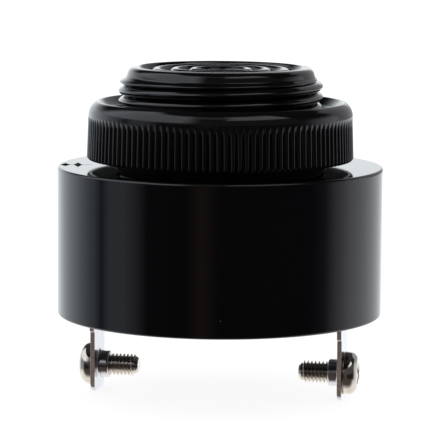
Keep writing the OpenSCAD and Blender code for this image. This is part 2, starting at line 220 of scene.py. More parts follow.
class Shader(Tree):
    """Material round one Principled surface, with the place on the piece in millimetres at hand."""

    def __init__(self, name: str) -> None:
        """Makes the material.

        Args:
            name: Name of the material.
        """
        self.material = bpy.data.materials.new(name)
        self.material.use_nodes = True
        super().__init__(self.material.node_tree)
        where = self.node("ShaderNodeTexCoord", output="Object")
        self.place = self.node("ShaderNodeVectorMath", {"operation": "SCALE"}, {0: where, "Scale": 1 / MM})

    def dress(self, values: Sockets) -> Material:
        """Sets or links sockets of the surface.

        Args:
            values: Value or output for each socket's name.

        Returns:
            The material.
        """
        surface = self.nodes.nodes["Principled BSDF"]
        for name, value in values.items():
            self.feed(surface.inputs[name], value)
        return self.material

    def axes(self, place: Wire | None = None) -> tuple[Wire, Wire, Wire]:
        """The three numbers of a place, or of the place on the piece."""
        split = self.node("ShaderNodeSeparateXYZ", inputs={0: place or self.place})
        return split, split.part("Y"), split.part("Z")

    def within(self, radius: float, height: float, soft: float = 0.2) -> Wire:
        """Mask of what lies within a radius of the axis and below a height.

        Args:
            radius: Distance from the axis.
            height: Distance above the shoulder.
            soft: Width of the mask's edge.

        Returns:
            1 within the place and 0 elsewhere.
        """
        x, y, z = self.axes()
        out = self.math("SQRT", x * x + y * y)
        return self.step(out, radius, radius - soft) * self.step(z, height, height - soft)

    def noise(self, scale: float, detail: float = 3.0, place: Wire | None = None) -> Wire:
        """Cloudy noise between 0 and 1, with scale in cycles per millimetre."""
        sizes = {"Vector": place or self.place, "Scale": scale, "Detail": detail}
        return self.node("ShaderNodeTexNoise", inputs=sizes)

    def mixed(self, share: Value, first: Paint, second: Paint) -> Wire:
        """Colour between two others."""
        return self.node("ShaderNodeMix", {"data_type": "RGBA"}, {0: share, 6: first, 7: second}, 2)

    def bump(self, height: Wire, depth: float, strength: float = 1.0) -> Wire:
        """Normal that follows a height of up to depth millimetres."""
        sizes = {"Height": height, "Distance": depth * MM, "Strength": strength}
        return self.node("ShaderNodeBump", inputs=sizes)


def scaled(colour: Colour, share: float) -> Colour:
    """Colour times a number."""
    return tuple(share * c for c in colour)


@dataclass(frozen=True)
class Finish(ABC):
    """Surface finish that can be made into a material."""

    name: str

    def make(self) -> Material:
        """Builds the material."""
        shader = Shader(self.name)
        return shader.dress(self.sockets(shader))

    @abstractmethod
    def sockets(self, shader: Shader) -> Sockets:
        """Works out what feeds the surface.

        Args:
            shader: The material.

        Returns:
            Value or output for each socket's name.
        """


@dataclass(frozen=True)
class GlossMoulding(Finish):
    """Glossy black plastic with faint flow waves, dust specks and a rubbed line on the shoulder."""

    name: str = "gloss_black_plastic"
    colour: Colour = (0.0011, 0.0011, 0.0012)
    rough: float = 0.035
    spread: float = 0.05
    cloud: float = 0.35
    wave: float = 0.05
    wave_depth: float = 0.012
    dust_colour: Colour = (0.10, 0.10, 0.105)
    dust_rough: float = 0.5
    dust_scale: float = 0.55
    dust_size: float = 0.035
    dust_share: float = 0.16
    mark_colour: Colour = (0.004, 0.004, 0.004)
    mark_rough: float = 0.4
    mark_depth: float = 0.06
    mark_angle: float = -170.2
    mark_start: Point = (16.6, 17.6)
    mark_end: Point = (21.0, 20.7)
    mark_half: float = 0.10
    mark_height: Point = (0.2, 0.1)
    matt_r: float = 14.2
    matt_z: float = 0.8
    matt_rough: float = 0.8
    ior: float = 1.5

    def sockets(self, shader: Shader) -> Sockets:
        """Feeds the surface.

        Args:
            shader: The material.

        Returns:
            What each socket gets.
        """
        dust = self._dust(shader)
        mark = self._mark(shader)
        wave = shader.noise(self.wave, detail=1.0)
        rough = self.rough + self.spread * shader.noise(self.cloud)
        rough = rough + self.dust_rough * dust + self.mark_rough * mark
        dusty = shader.mixed(dust, self.colour, self.dust_colour)
        return {
            "Base Color": shader.mixed(mark, dusty, self.mark_colour),
            "Roughness": rough + self.matt_rough * shader.within(self.matt_r, self.matt_z),
            "Normal": shader.bump(wave * self.wave_depth - mark * self.mark_depth, 1.0),
            "IOR": self.ior,
        }

    def _dust(self, shader: Shader) -> Wire:
        """Finds the dust specks.

        Args:
            shader: The material.

        Returns:
            1 on a speck and 0 elsewhere.
        """
        sizes = {"Vector": shader.place, "Scale": self.dust_scale}
        cells = shader.node("ShaderNodeTexVoronoi", inputs=sizes)
        lot = shader.node("ShaderNodeSeparateColor", inputs={0: cells.part("Color")})
        chosen = shader.math("LESS_THAN", lot, self.dust_share)
        return shader.step(cells, self.dust_size, 0.5 * self.dust_size) * chosen

    def _mark(self, shader: Shader) -> Wire:
        """Finds the rubbed radial line on the shoulder.

        Args:
            shader: The material.

        Returns:
            1 on the mark and 0 elsewhere.
        """
        turn = {"Vector": shader.place, "Angle": -math.radians(self.mark_angle)}
        turned = shader.node("ShaderNodeVectorRotate", {"rotation_type": "Z_AXIS"}, turn)
        out, across, up = shader.axes(turned)
        reach = shader.step(out, *self.mark_start) * shader.step(out, *self.mark_end)
        line = shader.step(abs(across), 2 * self.mark_half, self.mark_half) * reach
        return line * shader.step(abs(up), *self.mark_height)


@dataclass(frozen=True)
class SatinMoulding(Finish):
    """Satin black plastic with a fine grain, matt within a radius and below a height."""

    colour: Colour = (0.0013, 0.0013, 0.0015)
    rough: float = 0.055
    spread: float = 0.05
    cloud: float = 0.6
    grain: float = 6.0
    grain_depth: float = 0.002
    grain_tone: float = 1.6
    gloss: float = 0.46
    matt_r: float = 0.0
    matt_z: float = 0.0
    matt_rough: float = 0.55

    def sockets(self, shader: Shader) -> Sockets:
        """Feeds the surface.

        Args:
            shader: The material.

        Returns:
            What each socket gets.
        """
        grain = shader.noise(self.grain, detail=2.0)
        rough = self.rough + self.spread * shader.noise(self.cloud)
        return {
            "Base Color": shader.mixed(grain, self.colour, scaled(self.colour, self.grain_tone)),
            "Roughness": rough + self.matt_rough * shader.within(self.matt_r, self.matt_z),
            "Normal": shader.bump(grain, self.grain_depth, strength=0.5),
            "Specular IOR Level": self.gloss,
        }


@dataclass(frozen=True)
class PlatedMetal(Finish):
    """Bright plated metal with drawn streaks and a faint tarnish."""

    colour: Colour
    tarnish: Colour
    rough: float = 0.14
    spread: float = 0.12
    streak: float = 2.0
    streak_stretch: Colour = (3.0, 3.0, 0.3)
    streak_depth: float = 0.004
    cloud: float = 0.7
    cloud_edge: Point = (0.45, 0.75)

    def sockets(self, shader: Shader) -> Sockets:
        """Feeds the surface.

        Args:
            shader: The material.

        Returns:
            What each socket gets.
        """
        stretch = {0: shader.place, 1: self.streak_stretch}
        drawn = shader.node("ShaderNodeVectorMath", {"operation": "MULTIPLY"}, stretch)
        streak = shader.noise(self.streak, place=drawn)
        cloud = shader.step(shader.noise(self.cloud), *self.cloud_edge)
        return {
            "Base Color": shader.mixed(cloud, self.colour, self.tarnish),
            "Metallic": 1.0,
            "Roughness": self.rough + self.spread * streak,
            "Normal": shader.bump(streak, self.streak_depth, strength=0.4),
        }


@dataclass(frozen=True)
class Grained(Finish):
    """Two-tone grained surface: ceramic, ferrite, rubber, epoxy or wire sleeve."""

    colour: Colour
    second: Colour
    rough: float
    grain: float = 4.0
    metallic: float = 0.0
    depth: float = 0.01
    spread: float = 0.15
    grain_edge: Point = (0.35, 0.65)

    def sockets(self, shader: Shader) -> Sockets:
        """Feeds the surface.

        Args:
            shader: The material.

        Returns:
            What each socket gets.
        """
        grain = shader.noise(self.grain)
        tone = shader.step(grain, *self.grain_edge)
        return {
            "Base Color": shader.mixed(tone, self.colour, self.second),
            "Metallic": self.metallic,
            "Roughness": self.rough + self.spread * grain,
            "Normal": shader.bump(grain, self.depth, strength=0.4),
        }


@dataclass(frozen=True)
class Ringed(Finish):
    """Surface that repeats along Z, such as the turns of a winding, with painted shade in the grooves between
    turns.
    """

    colour: Colour
    # groove is the colour of the painted shade in the grooves between turns
    groove: Colour
    pitch: float
    rough: float
    metallic: float
    grain: float = 2.0
    spread: float = 0.15
    groove_shade_edge: Point = (0.6, 1.0)

    def sockets(self, shader: Shader) -> Sockets:
        """Feeds the surface.

        Args:
            shader: The material.

        Returns:
            What each socket gets.
        """
        turns = shader.axes()[2] / self.pitch
        fall = abs(turns - round(turns)) * 2
        grain = shader.noise(self.grain, detail=2.0)
        return {
            # Base Color darkens to painted shade towards each groove between the turns
            "Base Color": shader.mixed(shader.step(fall, *self.groove_shade_edge), self.colour, self.groove),
            "Metallic": self.metallic,
            "Roughness": self.rough + self.spread * grain,
            "Normal": shader.bump(1 - fall, 0.5 * self.pitch, strength=0.6),
        }


@dataclass(frozen=True)
class Banded(Finish):
    """Round body with coloured bands across its length, which lies along X."""

    colour: Colour
    bands: tuple[tuple[float, Colour], ...]
    middle: float
    band_half: float
    body_half: float
    rough: float = 0.35
    spread: float = 0.1
    grain: float = 5.0
    grain_tone: float = 0.8
    grain_depth: float = 0.01
    wire_edge: float = 0.04
    wire_colour: Colour = (0.62, 0.60, 0.56)

    def sockets(self, shader: Shader) -> Sockets:
        """Feeds the surface.

        Args:
            shader: The material.

        Returns:
            What each socket gets.
        """
        along = shader.axes()[0] - self.middle
        grain = shader.noise(self.grain, detail=2.0)
        colour = shader.mixed(grain, self.colour, scaled(self.colour, self.grain_tone))
        for shift, band in self.bands:
            mask = shader.step(abs(along - shift), 1.2 * self.band_half, self.band_half)
            colour = shader.mixed(mask, colour, band)
        wire = shader.step(abs(along), self.body_half, self.body_half + self.wire_edge)
        return {
            "Base Color": shader.mixed(wire, colour, self.wire_colour),
            "Metallic": wire,
            "Roughness": self.rough + self.spread * grain,
            "Normal": shader.bump(grain, self.grain_depth, strength=0.4),
        }


@dataclass(frozen=True)
class Laminate(Finish):
    """Circuit board: glass weave under a green mask, with pale pads at its slots."""

    name: str = "green_board_laminate"
    colour: Colour = (0.012, 0.075, 0.032)
    thread: Colour = (0.018, 0.105, 0.045)
    rough: float = 0.32
    spread: float = 0.1
    weave: float = 1.6
    weave_depth: float = 0.01
    slot_x: float = 16.57
    pad: Colour = (0.62, 0.60, 0.55)
    pad_r: float = 2.6
    pad_edge: float = 0.1

    def sockets(self, shader: Shader) -> Sockets:
        """Feeds the surface.

        Args:
            shader: The material.

        Returns:
            What each socket gets.
        """
        x, y, _ = shader.axes()
        rows, lines = (shader.math("SINE", axis * self.weave * TURN) for axis in (x, y))
        weave = 0.5 + 0.5 * rows * lines
        aside = abs(x) - self.slot_x
        away = shader.math("SQRT", aside * aside + y * y)
        pad = shader.step(away, self.pad_r, self.pad_r - self.pad_edge)
        return {
            "Base Color": shader.mixed(pad, shader.mixed(weave, self.colour, self.thread), self.pad),
            "Metallic": pad,
            "Roughness": self.rough + self.spread * weave,
            "Normal": shader.bump(weave, self.weave_depth, strength=0.3),
        }


@dataclass(frozen=True)
class Corner:
    """Corner of an outline, with the radius of its round."""

    across: float
    along: float
    round_r: float = 0.0

    @property
    def spot(self) -> Vector:
        """Its place in the outline's plane."""
        return Vector((self.across, self.along))


def rounded(corners: Sequence[Corner], closed: bool, steps: int = 6, guard: float = 0.12) -> list[Point]:
    """Works out an outline with its rounds as arcs, each between two guard points that keep the shading flat.

    Args:
        corners: The outline's corners, in order.
        closed: True if the last corner is joined to the first.
        steps: Parts of an arc.
        guard: Distance of a guard point from its arc.

    Returns:
        Points of the outline.
    """
    count = len(corners)
    points: list[Point] = []
    for i, corner in enumerate(corners):
        here = corner.spot
        end = not closed and i in (0, count - 1)
        if end or not corner.round_r:
            points.append(tuple(here))
            continue
        to_back = (corners[i - 1].spot - here).normalized()
        to_on = (corners[(i + 1) % count].spot - here).normalized()
        half = to_back.angle(to_on) / 2
        cut = corner.round_r / math.tan(half)
        centre = here + (to_back + to_on).normalized() * corner.round_r / math.sin(half)
        first = (here + to_back * cut - centre).normalized()
        last = (here + to_on * cut - centre).normalized()
        arc = [centre + first.slerp(last, k / steps) * corner.round_r for k in range(steps + 1)]
        spots = [here + to_back * (cut + guard), *arc, here + to_on * (cut + guard)]
        points += [tuple(spot) for spot in spots]
    return points


class Shell:
    """Mesh in the making, in millimetres."""

    def __init__(self) -> None:
        """Starts with nothing."""
        self.mesh = bmesh.new()

    def skin(
        self, rows: Sequence[Sequence[Vector]], ring: bool = True, closed: bool = False,
    ) -> list[list[bmesh.types.BMVert]]:
        """Lays faces between rows of points.

        Args:
            rows: Rows of as many points each. A row of one point is a pole.
            ring: True if the end of each row is joined to its start.
            closed: True if the last row is joined to the first.

        Returns:
            The new corners, row by row.
        """
        columns = max(len(row) for row in rows)
        made = []
        for row in rows:
            corners = [self.mesh.verts.new(spot) for spot in row]
            made.append(corners * columns if len(corners) == 1 else corners)
        pairs = list(zip(made, made[1:]))
        if closed:
            pairs.append((made[-1], made[0]))
        for low, high in pairs:
            for i in range(columns if ring else columns - 1):
                j = (i + 1) % columns
                self.mesh.faces.new(dict.fromkeys((low[i], low[j], high[j], high[i])))
        return made

    def lathe(
        self, outline: Sequence[Point], columns: int, closed: bool = False, place: Matrix | None = None,
    ) -> None:
        """Turns an outline about Z.

        Args:
            outline: Radius and height of each point. A radius of 0 makes a pole.
            columns: Parts of the turn.
            closed: True if the outline's end is joined to its start.
            place: Where the turned form goes.
        """
        place = place or Matrix()
        angles = [TURN * i / columns for i in range(columns)]
        rows = []
        for radius, height in outline:
            ways = angles if radius > POLE_R else angles[:1]
            spots = [Vector((radius * math.cos(a), radius * math.sin(a), height)) for a in ways]
            rows.append([place @ spot for spot in spots])
        self.skin(rows, closed=closed)

    def bar(self, size: Vector, middle: Vector, turn: float, bevel: float) -> None:
        """Adds a bar with bevelled edges.

        Args:
            size: Length along X, width and height.
            middle: Its middle before it is turned.
            turn: Angle about Z, in degrees.
            bevel: Width of the bevels.
        """
        place = Matrix.Rotation(math.radians(turn), 4, "Z") @ Matrix.Translation(middle)
        made = bmesh.ops.create_cube(self.mesh, matrix=place @ Matrix.Diagonal((*size, 1)))
        edges = dict.fromkeys(edge for vert in made["verts"] for edge in vert.link_edges)
        bmesh.ops.bevel(self.mesh, geom=list(edges), offset=bevel, segments=3, profile=0.5, affect="EDGES")

    def take(self, mesh: Mesh) -> None:
        """Moves a finished mesh in here and removes it."""
        self.mesh.from_mesh(mesh)
        bpy.data.meshes.remove(mesh)

    def close(self, gap: float = 0.002) -> None:
        """Joins points that lie together and turns all faces outwards."""
        bmesh.ops.remove_doubles(self.mesh, verts=self.mesh.verts, dist=gap)
        bmesh.ops.recalc_face_normals(self.mesh, faces=self.mesh.faces)

    def to_mesh(self, name: str, sharp: float = 40.0) -> Mesh:
        """Ends the making, still in millimetres.

        Args:
            name: Name of the mesh.
            sharp: Angle in degrees past which an edge stays sharp.

        Returns:
            The mesh, shaded smooth.
        """
        made = bpy.data.meshes.new(name)
        self.mesh.to_mesh(made)
        self.mesh.free()
        made.shade_smooth()
        made.set_sharp_from_angle(angle=math.radians(sharp))
        return made


def linked(name: str, data: bpy.types.ID) -> bpy.types.Object:
    """Puts data into the scene as an object at the origin.

    Args:
        name: Name of the object.
        data: Its mesh, curve or camera.

    Returns:
        The object.
    """
    thing = bpy.data.objects.new(name, data)
    bpy.context.scene.collection.objects.link(thing)
    return thing


def settled(holder: bpy.types.Object) -> Mesh:
    """Turns an object with its modifiers into a plain mesh, and removes the object.

    Args:
        holder: An object in the scene.

    Returns:
        The mesh.
    """
    mesh = bpy.data.meshes.new_from_object(holder.evaluated_get(bpy.context.evaluated_depsgraph_get()))
    holder.modifiers.clear()
    bpy.data.objects.remove(holder)
    return mesh


def placed(mesh: Mesh, *materials: Material) -> bpy.types.Object:
    """Scales a mesh to metres and puts it into the scene.

    Args:
        mesh: The mesh, in millimetres.
        materials: Its material slots, in order.

    Returns:
        The object, which has the mesh's name.
    """
    mesh.transform(Matrix.Scale(MM, 4))
    for material in materials:
        mesh.materials.append(material)
    return linked(mesh.name, mesh)


def finished(mesh: Mesh, materials: Sequence[Material], body: Body, node: str) -> None:
    """Puts a mesh into the scene as a piece on its body.

    Args:
        mesh: The mesh, in millimetres, with the piece's name.
        materials: Its material slots, in order.
        body: The body that it rides on.
        node: The solid that it stands for, which is hidden.
    """
    piece = placed(mesh, *materials)
    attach(piece, body.value)
    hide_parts(node)
    LOG.info("%s: %d faces for %s", piece.name, len(mesh.polygons), node)


class NodeForm(Tree):
    """Geometry Nodes tree with named inputs, which ends in Realize Instances and Set Material."""

    KINDS = {int: "NodeSocketInt", float: "NodeSocketFloat", Material: "NodeSocketMaterial"}

    def __init__(self, name: str, inputs: Mapping[str, type]) -> None:
        """Starts the tree.

        Args:
            name: Name of the tree.
            inputs: Kind of each named input, apart from the material.
        """
        super().__init__(bpy.data.node_groups.new(name, "GeometryNodeTree"))
        sockets = self.nodes.interface
        for way in ("INPUT", "OUTPUT"):
            sockets.new_socket("Geometry", in_out=way, socket_type="NodeSocketGeometry")
        for title, kind in {**inputs, "material": Material}.items():
            sockets.new_socket(title, in_out="INPUT", socket_type=self.KINDS[kind])
        self.given = self.node("NodeGroupInput")

    def end(self, form: Wire, gap: float) -> None:
        """Closes the tree.

        Args:
            form: The finished geometry.
            gap: Distance within which points are joined.
        """
        real = self.node("GeometryNodeRealizeInstances", inputs={0: form})
        joined = self.node("GeometryNodeMergeByDistance", inputs={"Geometry": real, "Distance": gap})
        dress = {"Geometry": joined, "Material": self.given.part("material")}
        self.node("NodeGroupOutput", inputs={0: self.node("GeometryNodeSetMaterial", inputs=dress)})

    def grow(self, sizes: Mapping[str, float], material: Material, seed: Mesh | None = None) -> Mesh:
        """Runs the tree once.

        Args:
            sizes: Value of each named input.
            material: Material of the result.
            seed: Mesh that the tree starts from.

        Returns:
            The result as a plain mesh.
        """
        holder = linked("holder", seed or bpy.data.meshes.new("holder"))
        modifier = holder.modifiers.new("Grow", "NODES")
        modifier.node_group = self.nodes
        values = {**sizes, "material": material}
        for item in self.nodes.interface.items_tree:
            if item.in_out == "INPUT" and item.name in values:
                modifier[item.identifier] = values[item.name]
        return settled(holder)


@dataclass(frozen=True)
class Thread:
    """Sizes of a threaded sleeve, with the crest's and the root's shares of half a pitch from the crest."""

    columns: int
    rows: int
    low_r: float
    high_r: float
    root_r: float
    crest_r: float
    pitch: float
    crest_z: float
    low_end: float
    high_end: float
    low_run: float
    high_run: float
    crest_share: float
    root_share: float
    roundness: float = 0.0


class ThreadForm(NodeForm):
    """Sleeve with a screw thread about Z: a grid that is rolled up and pushed out along the ridge."""

    GAP = 0.001

    def __init__(self) -> None:
        """Builds the tree."""
        super().__init__("screw_thread", {size.name: size.type for size in fields(Thread)})
        given = self.given.part
        root, low_end, high_end = given("root_r"), given("low_end"), given("high_end")
        sides = {"Vertices X": given("columns") + 1, "Vertices Y": given("rows") + 1}
        grid = self.node("GeometryNodeMeshGrid", inputs={"Size X": 1.0, "Size Y": 1.0, **sides})
        spot = self.node("ShaderNodeSeparateXYZ", inputs={0: self.node("GeometryNodeInputPosition")})
        share = spot + 0.5
        height = low_end + (spot.part("Y") + 0.5) * (high_end - low_end)
        turns = (height - given("crest_z")) / given("pitch") - share
        off_crest = abs(turns - round(turns))
        plain = self.step(off_crest, given("root_share"), given("crest_share"))
        slope = {"Value": off_crest, "From Min": given("crest_share"), "From Max": given("root_share")}
        fall = self.node("ShaderNodeMapRange", inputs=slope)
        arch = self.math("SQRT", 1 - fall * fall)
        ridge = plain + given("roundness") * (arch - plain)
        low = self.step(height, low_end, low_end + given("low_run"))
        high = self.step(height, high_end, high_end - given("high_run"))
        ends = (1 - low) * (given("low_r") - root) + (1 - high) * (given("high_r") - root)
        radius = root + ends + low * high * ridge * (given("crest_r") - root)
        x, y = (radius * self.math(way, share * TURN) for way in ("COSINE", "SINE"))
        rolled = self.node("ShaderNodeCombineXYZ", inputs={0: x, 1: y, 2: height})
        moved = {"Geometry": grid, "Position": rolled}
        self.end(self.node("GeometryNodeSetPosition", inputs=moved), self.GAP)

    def sleeve(self, thread: Thread, material: Material) -> Mesh:
        """Makes the sleeve of one thread."""
        return self.grow(asdict(thread), material)


class RingForm(NodeForm):
    """Ring of equal sectors about Z, joined into one skin."""

    GAP = 0.004

    def __init__(self) -> None:
        """Builds the tree."""
        super().__init__("ring_of_ribs", {"count": int})
        count = self.given.part("count")
        points = self.node("GeometryNodePoints", inputs={"Count": count})
        angle = self.node("GeometryNodeInputIndex") * TURN / count
        turn = self.node("ShaderNodeCombineXYZ", inputs={2: angle})
        ring = {"Points": points, "Instance": self.given.part("Geometry"), "Rotation": turn}
        self.end(self.node("GeometryNodeInstanceOnPoints", inputs=ring), self.GAP)


@dataclass(frozen=True)
class Extent:
    """Corners of a solid's box, in millimetres."""

    low: Vector
    high: Vector

    @classmethod
    def of(cls, node: str) -> "Extent":
        """Reads the box of an imported solid."""
        low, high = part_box(node)
        return cls(low / MM, high / MM)


@dataclass(frozen=True)
class Nib:
    """Small raised diamond on the shoulder."""

    out: float
    length: float
    width: float
    height: float
    sunk: float = 0.05

    def add(self, shell: Shell, turn: Matrix) -> None:
        """Adds the diamond to a mesh.

        Args:
            shell: Mesh in the making.
            turn: Turn about the axis that brings +X to the diamond.
        """
        ways = ((1, 0), (0, 1), (-1, 0), (0, -1))
        spots = [Vector((self.out + x * self.length / 2, y * self.width / 2, -self.sunk)) for x, y in ways]
        tip = Vector((self.out, 0, self.height))
        foot, _ = shell.skin([[turn @ spot for spot in spots], [turn @ tip]])
        shell.mesh.faces.new(foot)


@dataclass
class Housing:
    """Body, threaded nose and ringed grille, moulded in one."""

    thread: ThreadForm
    finish: Finish
    columns: int = 288
    edge_r: float = 0.34
    foot_r: float = 0.3
    ledge_r: float = 20.3
    cavity_r: float = 19.7
    cover_t: float = 1.8
    seat_z: float = -3.2
    seat_r: float = 15.9
    shoulder_t: float = 2.0
    cap_r: float = 12.4
    cap_taper: float = 0.324
    cap_round: float = 0.9
    rim_fall: float = 0.2
    rim_w: float = 0.38
    lip_fall: float = 0.62
    bore_r: float = 10.4
    lip_r: float = 0.4
    thread_low: float = 0.7
    thread_top: float = 11.95
    thread_root_r: float = 12.62
    thread_crest_r: float = 13.47
    thread_crest_z: float = 9.95
    thread_crest_at: float = -170.3
    ring_count: int = 3
    ring_columns: int = 160
    ring_w: float = 1.15
    ring_gap: float = 1.3
    ring_h: float = 2.4
    ring_drop: float = 0.2
    ring_foot_r: float = 0.15
    ring_top_share: float = 0.98
    spoke_count: int = 4
    spoke_w: float = 1.2
    spoke_drop: float = 1.0
    spoke_root: float = 0.5
    spoke_bevel: float = 0.2
    nib_angle: float = -170.2
    nibs: tuple[Nib, ...] = (Nib(20.45, 1.7, 0.55, 0.2), Nib(18.8, 1.35, 1.0, 0.3))

    def build(self) -> None:
        """Makes the moulding."""
        extent = Extent.of("housing")
        material = self.finish.make()
        shell = Shell()
        shell.lathe(self._walls(extent), self.columns)
        shell.take(self.thread.sleeve(self._nose_thread(), material))
        shell.close()
        self._add_grille(shell, extent.high.z)
        for nib in self.nibs:
            nib.add(shell, Matrix.Rotation(math.radians(self.nib_angle), 3, "Z"))
        bmesh.ops.recalc_face_normals(shell.mesh, faces=shell.mesh.faces)
        finished(shell.to_mesh("housing_moulding"), [material], Body.BUZZER, "housing")

    def _walls(self, extent: Extent) -> list[Point]:
        """Works out the outline of all walls but the thread, from the cap over the bore to the shoulder.

        Args:
            extent: Box of the housing's solid.

        Returns:
            Points of the outline.
        """
        body_r, bottom, top = extent.high.x, extent.low.z, extent.high.z
        return rounded([
            Corner(self.cap_r, self.thread_top),
            Corner(self.cap_r - self.cap_taper, top - self.rim_fall, self.cap_round),
            Corner(self.bore_r + self.rim_w, top, self.lip_r),
            Corner(self.bore_r, top - self.lip_fall, self.lip_r),
            Corner(self.bore_r, -self.shoulder_t),
            Corner(self.seat_r, -self.shoulder_t),
            Corner(self.seat_r, self.seat_z),
            Corner(self.cavity_r, self.seat_z),
            Corner(self.cavity_r, bottom + self.cover_t),
            Corner(self.ledge_r, bottom + self.cover_t),
            Corner(self.ledge_r, bottom),
            Corner(body_r, bottom, self.foot_r),
            Corner(body_r, 0, self.edge_r),
            Corner(self.thread_crest_r, 0),
            Corner(self.thread_crest_r, self.thread_low),
        ], closed=False, steps=8, guard=0.1)

    def _nose_thread(self) -> Thread:
        """Sizes the nose thread, which starts above the shoulder and fades out under the cap band.

        Returns:
            Its sizes.
        """
        start = self.thread_crest_z - NOSE_PITCH * self.thread_crest_at / 360
        return Thread(
            columns=self.columns, rows=180, low_r=self.thread_crest_r, high_r=self.cap_r,
            root_r=self.thread_root_r, crest_r=self.thread_crest_r, pitch=NOSE_PITCH, crest_z=start,
            low_end=self.thread_low, high_end=self.thread_top, low_run=0.6, high_run=0.95,
            crest_share=0.02, root_share=0.48, roundness=0.75,
        )

    def _add_grille(self, shell: Shell, top: float) -> None:
        """Adds the rings with round tops and the spokes under them.

        Args:
            shell: Mesh in the making.
            top: Height of the nose.
        """
        high = top - self.ring_drop
        low = high - self.ring_h
        half = self.ring_w / 2
        top_r = self.ring_top_share * half
        radius = self.bore_r
        for _ in range(self.ring_count):
            radius -= self.ring_gap + self.ring_w
            middle = radius + half
            outline = rounded([
                Corner(middle - half, low, self.ring_foot_r), Corner(middle + half, low, self.ring_foot_r),
                Corner(middle + half, high, top_r), Corner(middle - half, high, top_r),
            ], closed=True, guard=0.0)
            shell.lathe(outline, self.ring_columns, closed=True)
        length = self.bore_r + self.spoke_root - middle
        height = self.ring_h - self.spoke_drop
        size = Vector((length, self.spoke_w, height))
        place = Vector((middle + length / 2, 0, low + height / 2))
        for i in range(self.spoke_count):
            shell.bar(size, place, (i + 0.5) * 360 / self.spoke_count, self.spoke_bevel)


@dataclass
class RingNut:
    """Knurled ring nut with a smooth crown, a sink round its bore and a thread inside."""

    thread: ThreadForm
    ring: RingForm
    finish: Finish
    rib_count: int = 120
    rib_columns: int = 6
    rib_power: float = 1.1
    rib_shares: tuple[float, ...] = (0.08, 0.35, 0.7, 0.92)
    groove_r: float = 17.09
    foot_w: float = 0.5
    draft: float = 0.17
    bevel: float = 0.25
    run_out: float = 1.15
    run_out_steps: int = 8
    crown_h: float = 2.05
    crown_end: float = 55.0
    crown_steps: int = 12
    edge_at: float = 70.0
    edge_r: float = 0.5
    sink_h: float = 1.4
    sink_floor_r: float = 14.9
    sink_cove_r: float = 1.5
    bore_r: float = 13.58
    inner_root_r: float = 14.35
    lead_in: float = 0.4
    weld: float = 0.004
    sharp: float = 62.0

    def build(self) -> None:
        """Makes the nut."""
        extent = Extent.of("ring_nut")
        low, inner_top = extent.low.z, extent.high.z - self.sink_h
        mouth = low + self.lead_in
        material = self.finish.make()
        columns = self.rib_count * self.rib_columns
        shell = Shell()
        shell.take(self.ring.grow({"count": self.rib_count}, material, self._rib(extent)))
        shell.lathe(rounded([
            Corner(*self._crown(extent, self.crown_end)),
            Corner(*self._crown(extent, self.edge_at), self.edge_r),
            Corner(self.sink_floor_r, inner_top, self.sink_cove_r),
            Corner(self.bore_r, inner_top),
        ], closed=False, guard=0.02), columns)
        foot_r = self.groove_r - self.foot_w
        shell.lathe([(self.bore_r, mouth), (self.bore_r + self.lead_in, low), (foot_r, low)], columns)
        shell.take(self.thread.sleeve(Thread(
            columns=columns, rows=46, low_r=self.bore_r, high_r=self.bore_r,
            root_r=self.inner_root_r, crest_r=self.bore_r, pitch=NOSE_PITCH, crest_z=low,
            low_end=mouth, high_end=inner_top, low_run=0.5, high_run=0.5, crest_share=0.16, root_share=0.4,
        ), material))
        shell.close(self.weld)
        finished(shell.to_mesh("knurled_nut", self.sharp), [material], Body.NUT, "ring_nut")

    def _crown(self, extent: Extent, rise: float) -> Point:
        """Finds a place on the crown's round.

        Args:
            extent: Box of the nut's solid.
            rise: Angle of the place on the round, in degrees.

        Returns:
            Its radius and height.
        """
        angle = math.radians(rise)
        middle_r = extent.high.x - self.draft - self.crown_h
        middle_z = extent.high.z - self.crown_h
        return middle_r + self.crown_h * math.cos(angle), middle_z + self.crown_h * math.sin(angle)

    def _rib(self, extent: Extent) -> Mesh:
        """Makes one rib's sector, from the underside over the side and crown to the edge of the sink.

        Args:
            extent: Box of the nut's solid.

        Returns:
            The sector's mesh.
        """
        low, tip_r = extent.low.z, extent.high.x
        knurl_top = extent.high.z - self.crown_h
        stretch = knurl_top - self.run_out - low
        rows = [(self.groove_r - self.foot_w, low, 0.0), (tip_r - self.bevel, low, 1.0)]
        for share in (self.bevel / stretch, *self.rib_shares):
            rows.append((tip_r - self.draft * share, low + share * stretch, 1.0))
        for i in range(self.run_out_steps + 1):
            depth = 1 - i / self.run_out_steps
            rows.append((tip_r - self.draft, knurl_top - self.run_out * depth, depth))
        for i in range(1, self.crown_steps + 1):
            rows.append((*self._crown(extent, self.crown_end * i / self.crown_steps), 0.0))
        shell = Shell()
        shell.skin([self._rib_row(*row) for row in rows], ring=False)
        return shell.to_mesh("rib_sector")

    def _rib_row(self, radius: float, height: float, depth: float) -> list[Vector]:
        """Works out one row of points across a rib.

        Args:
            radius: Radius of the rib's crest.
            height: Height of the row.
            depth: Share of the groove's full depth.

        Returns:
            The points, from groove to groove.
        """
        row = []
        for column in range(self.rib_columns + 1):
            across = column / self.rib_columns - 0.5
            crest = math.cos(math.pi * across) ** self.rib_power
            reach = radius - depth * (1 - crest) * max(radius - self.groove_r, 0)
            angle = across * TURN / self.rib_count
            row.append(Vector((reach * math.cos(angle), reach * math.sin(angle), height)))
        return row


class Side(Enum):
    """The two terminals, by the sign of their place along X."""

    POSITIVE = 1
    NEGATIVE = -1


